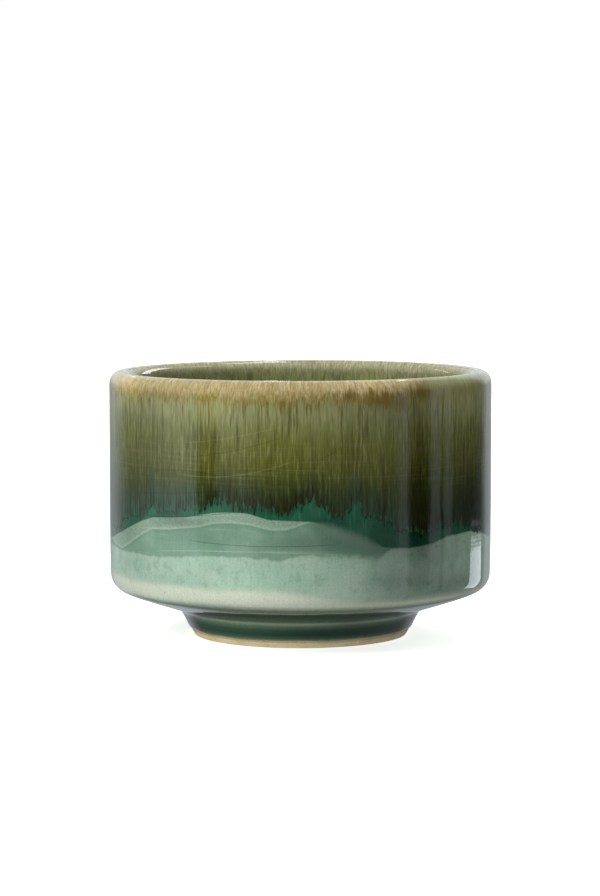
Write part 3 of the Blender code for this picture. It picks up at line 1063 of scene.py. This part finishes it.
# What the glossy glaze sees round it: the brightness at angles round the pot.
SURROUNDINGS = [
    (-180, 0.44), (-160, 0.44), (-150, 0.60), (-142, 0.58), (-123, 0.22), (-100, 0.50),
    (-79, 1.00), (-65, 0.95), (-63, 0.02), (-51, 0.02), (-49, 0.50), (-35, 0.45), (-20, 0.04),
    (0, 0.02), (4, 0.12), (58, 0.16), (62, 0.58), (66.5, 0.58), (68, 0.0), (82.5, 0.0),
    (84, 0.48), (92, 0.46), (92.8, 0.04), (94.6, 0.04), (95.4, 0.42), (100, 0.38), (104, 0.08),
    (127, 0.05), (138, 0.12), (150, 0.64), (160, 0.52), (180, 0.44),
]


class Room(Look):
    """The surroundings: white to the camera, soft light to the clay, a lit room to the gloss."""

    def __init__(self, world):
        self.tree = world.node_tree
        self.tree.nodes.clear()
        x, y, z = self.split(self.node("ShaderNodeTexCoord").outputs["Generated"])
        self.angle = self.heading(x, y)
        self.lift = self.maths("ARCSINE", z) * (180.0 / pi)

    def facing(self, angle):
        """Cosine of the angle round the pot, counted from this one."""
        return self.maths("COSINE", (self.angle - angle) * (pi / 180.0))

    def gloss(self):
        """Brightness that the gloss mirrors."""
        # Overhead the room is evenly bright.
        overhead = self.lift.rise(6.0, 30.0)
        level = self.ramp(self.angle, SURROUNDINGS) * (1.0 - overhead) + overhead * 0.55
        # Below the horizon it is a dim table, which is lit behind the pot.
        below = self.lift.rise(-9.0, -17.0)
        behind = self.maths("ABSOLUTE", self.angle).rise(120.0, 160.0) * self.lift.rise(-30.0, -22.0)
        lit = behind * (self.angle.rise(10.0, -10.0) * 0.16 + 0.16)
        level = level * (1.0 - below) + below * (lit + 0.26)
        # A wide bank of light behind and above is mirrored along the top of the lip.
        bank = self.lift.rise(-2.0, 6.0) * self.lift.rise(70.0, 55.0)
        bank = bank * self.facing(0.0).rise(-0.70, -0.90)
        # An upright strip of light, low behind on the right, is mirrored in the celadon.
        strip = self.angle.rise(123.35, 123.65) * self.angle.rise(140.15, 139.85)
        strip = strip * self.lift.rise(-21.45, -20.55) * self.lift.rise(-6.45, -7.35)
        return level + bank * 0.50 + strip * 2.5

    def soft(self):
        """Brightness that lights the clay and the colours in the glaze, most from the front left."""
        lit_side = self.maths("MAXIMUM", self.facing(-45.0), 0.0)
        steep = self.lift.rise(-18.0, -45.0)
        table = lit_side * 0.36 + steep * (lit_side * 1.5 + 0.14) + 0.04
        ceiling = lit_side * 0.12 + 0.05
        high = self.lift.rise(-3.0, 10.0)
        return table * (1.0 - high) + ceiling * high


def light_room():
    world = bpy.data.worlds.new("studio_room")
    world.use_nodes = True
    bpy.context.scene.world = world
    room = Room(world)
    gloss, soft = room.gloss(), room.soft()
    rays = room.node("ShaderNodeLightPath")
    bluish = room.combined(gloss * 0.92, gloss, gloss * 1.06)
    level = room.mix(rays.outputs["Is Glossy Ray"], room.combined(soft, soft, soft), bluish)
    level = room.mix(rays.outputs["Is Camera Ray"], level, room.combined(*[WHITE_GLOW] * 3))
    back = room.node("ShaderNodeBackground")
    room.join(back.inputs["Color"], level)
    output = room.node("ShaderNodeOutputWorld")
    room.join(output.inputs["Surface"], back.outputs[0])


def way_to(angle, lift):
    """Direction at an angle round the pot and a lift above the horizon."""
    turn, lift = radians(angle), radians(lift)
    return np.array([np.sin(turn) * np.cos(lift), -np.cos(turn) * np.cos(lift), np.sin(lift)])


def softbox(name, angle, lift, reach, size, power):
    """Square light that faces the pot, in metres and watts; it lights the clay but is not seen."""
    light = bpy.data.lights.new(name, "AREA")
    light.shape = "SQUARE"
    light.size = size
    light.energy = power
    lamp = bpy.data.objects.new(name, light)
    lamp.location = np.array([0.0, 0.0, LAMP_AIM]) + way_to(angle, lift) * reach
    lamp.rotation_euler = (pi / 2.0 - radians(lift), 0.0, radians(angle))
    lamp.visible_camera = False
    lamp.visible_glossy = False
    bpy.context.scene.collection.objects.link(lamp)


def sheet(name, corners, material_name):
    """Flat piece of the studio with four corners, in metres, and its material's node tree."""
    mesh = bpy.data.meshes.new(name)
    mesh.from_pydata([tuple(corner) for corner in corners], [], [(0, 1, 2, 3)])
    made = bpy.data.objects.new(name, mesh)
    bpy.context.scene.collection.objects.link(made)
    material = bpy.data.materials.new(material_name)
    material.use_nodes = True
    mesh.materials.append(material)
    made.visible_diffuse = False
    return made, material.node_tree


def glint_card(name, aim, angle, lift, reach, half_size, strength):
    """Small light close to the rim, mirrored at one place on the lip."""
    way = way_to(angle, lift)
    side = np.array([np.cos(radians(angle)), np.sin(radians(angle)), 0.0]) * half_size[0]
    up = np.cross(side, way) * half_size[1] / half_size[0]
    middle = np.array(aim) + way * reach
    corners = [middle - side - up, middle + side - up, middle + side + up, middle - side + up]
    card, tree = sheet(name, np.array(corners) * MM, name + "_glow")
    tree.nodes.clear()
    glow = tree.nodes.new("ShaderNodeEmission")
    glow.inputs["Strength"].default_value = strength
    output = tree.nodes.new("ShaderNodeOutputMaterial")
    tree.links.new(glow.outputs[0], output.inputs["Surface"])
    card.visible_camera = False
    card.visible_shadow = False


def white_floor():
    half = 6.0
    corners = [(-half, -half, 0.0), (half, -half, 0.0), (half, half, 0.0), (-half, half, 0.0)]
    floor, tree = sheet("floor", corners, "floor_paper")
    shader = tree.nodes["Principled BSDF"]
    shader.inputs["Base Color"].default_value = (0.80, 0.80, 0.80, 1.0)
    shader.inputs["Roughness"].default_value = 1.0
    shader.inputs["Specular IOR Level"].default_value = 0.0
    shader.inputs["Emission Color"].default_value = (1.0, 1.0, 1.0, 1.0)
    # Away from the pot the floor glows more, where the lamps no longer reach it.
    place = tree.nodes.new("ShaderNodeTexCoord")
    reach = tree.nodes.new("ShaderNodeVectorMath")
    reach.operation = "LENGTH"
    glow = tree.nodes.new("ShaderNodeMapRange")
    glow.interpolation_type = "SMOOTHSTEP"
    for socket, number in zip(glow.inputs[1:5], (0.2, 1.6, 0.78, WHITE_GLOW)):
        socket.default_value = number
    tree.links.new(place.outputs["Object"], reach.inputs[0])
    tree.links.new(reach.outputs["Value"], glow.inputs["Value"])
    tree.links.new(glow.outputs[0], shader.inputs["Emission Strength"])
    floor.visible_glossy = False


def set_camera():
    """The photograph's camera, in metres and degrees."""
    camera = bpy.data.cameras.new("camera")
    camera.lens = 114.04
    camera.sensor_width = 36.0
    camera.clip_end = 50.0
    holder = bpy.data.objects.new("camera", camera)
    holder.location = (-0.0001, -0.7408, 0.1123)
    holder.rotation_euler = (radians(90.0 - 4.909), 0.0, 0.0)
    bpy.context.scene.collection.objects.link(holder)
    bpy.context.scene.camera = holder


def dress():
    """Every piece, its material, the body it rides on and the CAD node it stands for."""
    coats = [
        (clay_body(), clay_look(), "stoneware_body", "stoneware"),
        (lining_coat(), lining_look(), "lining_glaze", "lining_glaze"),
        (olive_coat(), olive_look(), "olive_top_glaze", "olive_glaze"),
        (celadon_coat(), celadon_look(), "celadon_base_glaze", "celadon_glaze"),
        (recess_coat(), recess_look(), "foot_recess_glaze", "recess_glaze"),
    ]
    for piece, material, node, slot in coats:
        piece.data.materials.append(material)
        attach(piece, "root")
        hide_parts(node)


dress()
light_room()
softbox("key", -46.0, 34.0, 1.1, 0.45, 8.0)
softbox("top", 10.0, 80.0, 1.0, 0.9, 3.0)
softbox("fill", 114.0, 30.0, 1.3, 0.6, 5.4)
softbox("back", 165.0, 35.0, 1.2, 0.6, 6.0)
glint_card("window_glint", (-40.0, 21.0, 68.0), 131.0, 20.0, 45.0, (4.6, 9.6), 6.5)
glint_card("window_streak", (-33.0, 32.0, 69.0), 95.0, 42.0, 110.0, (22.0, 3.0), 5.0)
glint_card("far_glint", (37.5, 27.5, 66.0), -110.0, 20.0, 120.0, (7.0, 2.0), 4.0)
white_floor()
set_camera()
bpy.context.scene.view_settings.view_transform = "Standard"
